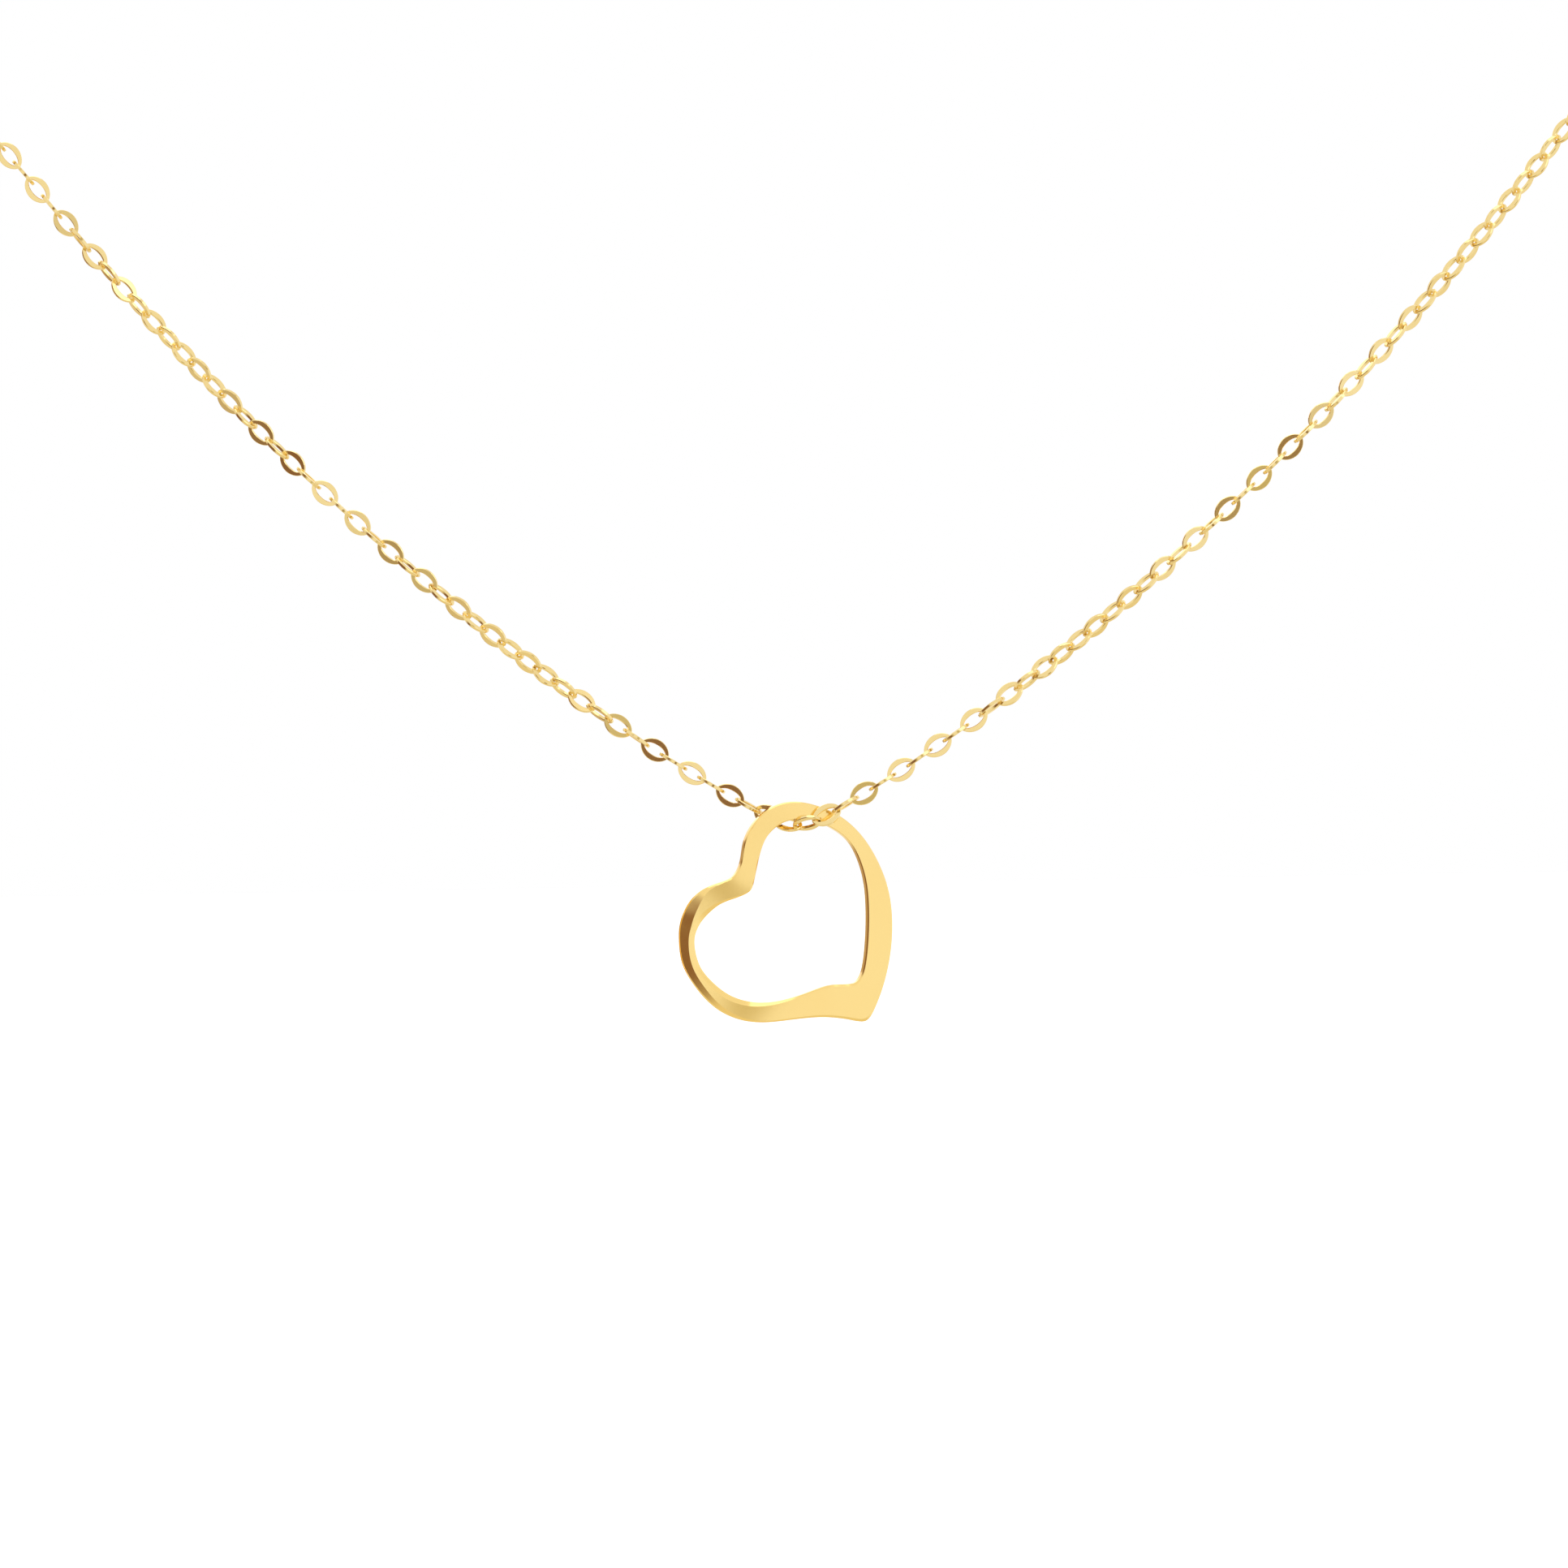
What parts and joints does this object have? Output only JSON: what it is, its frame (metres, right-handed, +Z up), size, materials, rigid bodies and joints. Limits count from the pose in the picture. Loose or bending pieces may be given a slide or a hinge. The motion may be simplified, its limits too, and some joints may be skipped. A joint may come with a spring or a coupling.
{
  "type": "pendant necklace",
  "caption": "Fine flat-oval cable chain necklace with an open heart pendant threaded on the chain and a spring ring clasp, hanging as worn.",
  "frame": {"origin": "middle of the neck opening, level with the clasp at the nape", "axes": "+X to the wearer's left, which is right as seen from the front; +Y from the pendant towards the nape; +Z up"},
  "size_m": [0.1474, 0.0931, 0.1088],
  "materials": {
    "chain_gold": "polished yellow gold, flat stamped links",
    "heart_gold": "high polish yellow gold, cast and buffed",
    "clasp_gold": "polished yellow gold wire and tube",
    "spring_steel": "fine bright spring wire"
  },
  "bodies": {
    "neck_chain": {"neck_links_left_1": "chain_gold", "neck_links_left_2": "chain_gold", "neck_links_left_3": "chain_gold", "neck_links_left_4": "chain_gold", "neck_links_left_5": "chain_gold", "neck_links_right_1": "chain_gold", "neck_links_right_2": "chain_gold", "neck_links_right_3": "chain_gold", "neck_links_right_4": "chain_gold", "neck_links_right_5": "chain_gold", "clasp_jump_ring": "clasp_gold", "end_ring": "clasp_gold"},
    "right_run_5": {"free_links_right_5": "chain_gold"},
    "right_run_4": {"free_links_right_4": "chain_gold"},
    "right_run_3": {"free_links_right_3": "chain_gold"},
    "right_run_2": {"free_links_right_2": "chain_gold"},
    "right_run_1": {"free_links_right_1": "chain_gold"},
    "left_run_5": {"free_links_left_5": "chain_gold"},
    "left_run_4": {"free_links_left_4": "chain_gold"},
    "left_run_3": {"free_links_left_3": "chain_gold"},
    "left_run_2": {"free_links_left_2": "chain_gold"},
    "left_run_1": {"free_links_left_1": "chain_gold"},
    "apex": {"apex_links_left": "chain_gold", "apex_links_right": "chain_gold"},
    "pendant": {"heart": "heart_gold"},
    "clasp": {"clasp_tube": "clasp_gold", "clasp_eye": "clasp_gold", "clasp_spring": "spring_steel"},
    "bolt": {"clasp_bolt": "clasp_gold", "clasp_tab": "clasp_gold"}
  },
  "joints": [
    {"name": "right_bend_5", "type": "hinge", "parent": "neck_chain", "child": "right_run_5", "pos_m": [0.05524, -0.0446, -0.04315], "axis": [1, 0, 0], "range_deg": [-12, 12]},
    {"name": "right_bend_4", "type": "hinge", "parent": "right_run_5", "child": "right_run_4", "pos_m": [0.04577, -0.0446, -0.05478], "axis": [1, 0, 0], "range_deg": [-12, 12]},
    {"name": "right_bend_3", "type": "hinge", "parent": "right_run_4", "child": "right_run_3", "pos_m": [0.03663, -0.0446, -0.06471], "axis": [1, 0, 0], "range_deg": [-12, 12]},
    {"name": "right_bend_2", "type": "hinge", "parent": "right_run_3", "child": "right_run_2", "pos_m": [0.02684, -0.0446, -0.07401], "axis": [1, 0, 0], "range_deg": [-12, 12]},
    {"name": "right_bend_1", "type": "hinge", "parent": "right_run_2", "child": "right_run_1", "pos_m": [0.01638, -0.0446, -0.08253], "axis": [1, 0, 0], "range_deg": [-12, 12]},
    {"name": "left_bend_5", "type": "hinge", "parent": "neck_chain", "child": "left_run_5", "pos_m": [-0.05524, -0.0446, -0.04315], "axis": [1, 0, 0], "range_deg": [-12, 12]},
    {"name": "left_bend_4", "type": "hinge", "parent": "left_run_5", "child": "left_run_4", "pos_m": [-0.04577, -0.0446, -0.05478], "axis": [1, 0, 0], "range_deg": [-12, 12]},
    {"name": "left_bend_3", "type": "hinge", "parent": "left_run_4", "child": "left_run_3", "pos_m": [-0.03663, -0.0446, -0.06471], "axis": [1, 0, 0], "range_deg": [-12, 12]},
    {"name": "left_bend_2", "type": "hinge", "parent": "left_run_3", "child": "left_run_2", "pos_m": [-0.02684, -0.0446, -0.07401], "axis": [1, 0, 0], "range_deg": [-12, 12]},
    {"name": "left_bend_1", "type": "hinge", "parent": "left_run_2", "child": "left_run_1", "pos_m": [-0.01638, -0.0446, -0.08253], "axis": [1, 0, 0], "range_deg": [-12, 12]},
    {"name": "apex_bend", "type": "hinge", "parent": "right_run_1", "child": "apex", "pos_m": [0.00521, -0.0446, -0.0901], "axis": [1, 0, 0], "range_deg": [-12, 12]},
    {"name": "pendant_swing", "type": "hinge", "parent": "apex", "child": "pendant", "pos_m": [0, -0.0446, -0.09146], "axis": [1, 0, 0], "range_deg": [-20, 7]},
    {"name": "clasp_swing", "type": "hinge", "parent": "neck_chain", "child": "clasp", "pos_m": [0.00079, 0.0446, 0], "axis": [1, 0, 0], "range_deg": [-30, 30]},
    {"name": "bolt_pull", "type": "hinge", "parent": "clasp", "child": "bolt", "pos_m": [0.00079, 0.0446, 0], "axis": [0, 1, 0], "range_deg": [0, 46], "stiffness_Nm_per_rad": 0.001, "springref_deg": -17.19}
  ],
  "couplings": [
    {"joint": "left_bend_5", "follows": "right_bend_5", "ratio": 1},
    {"joint": "left_bend_4", "follows": "right_bend_4", "ratio": 1},
    {"joint": "left_bend_3", "follows": "right_bend_3", "ratio": 1},
    {"joint": "left_bend_2", "follows": "right_bend_2", "ratio": 1},
    {"joint": "left_bend_1", "follows": "right_bend_1", "ratio": 1}
  ]
}
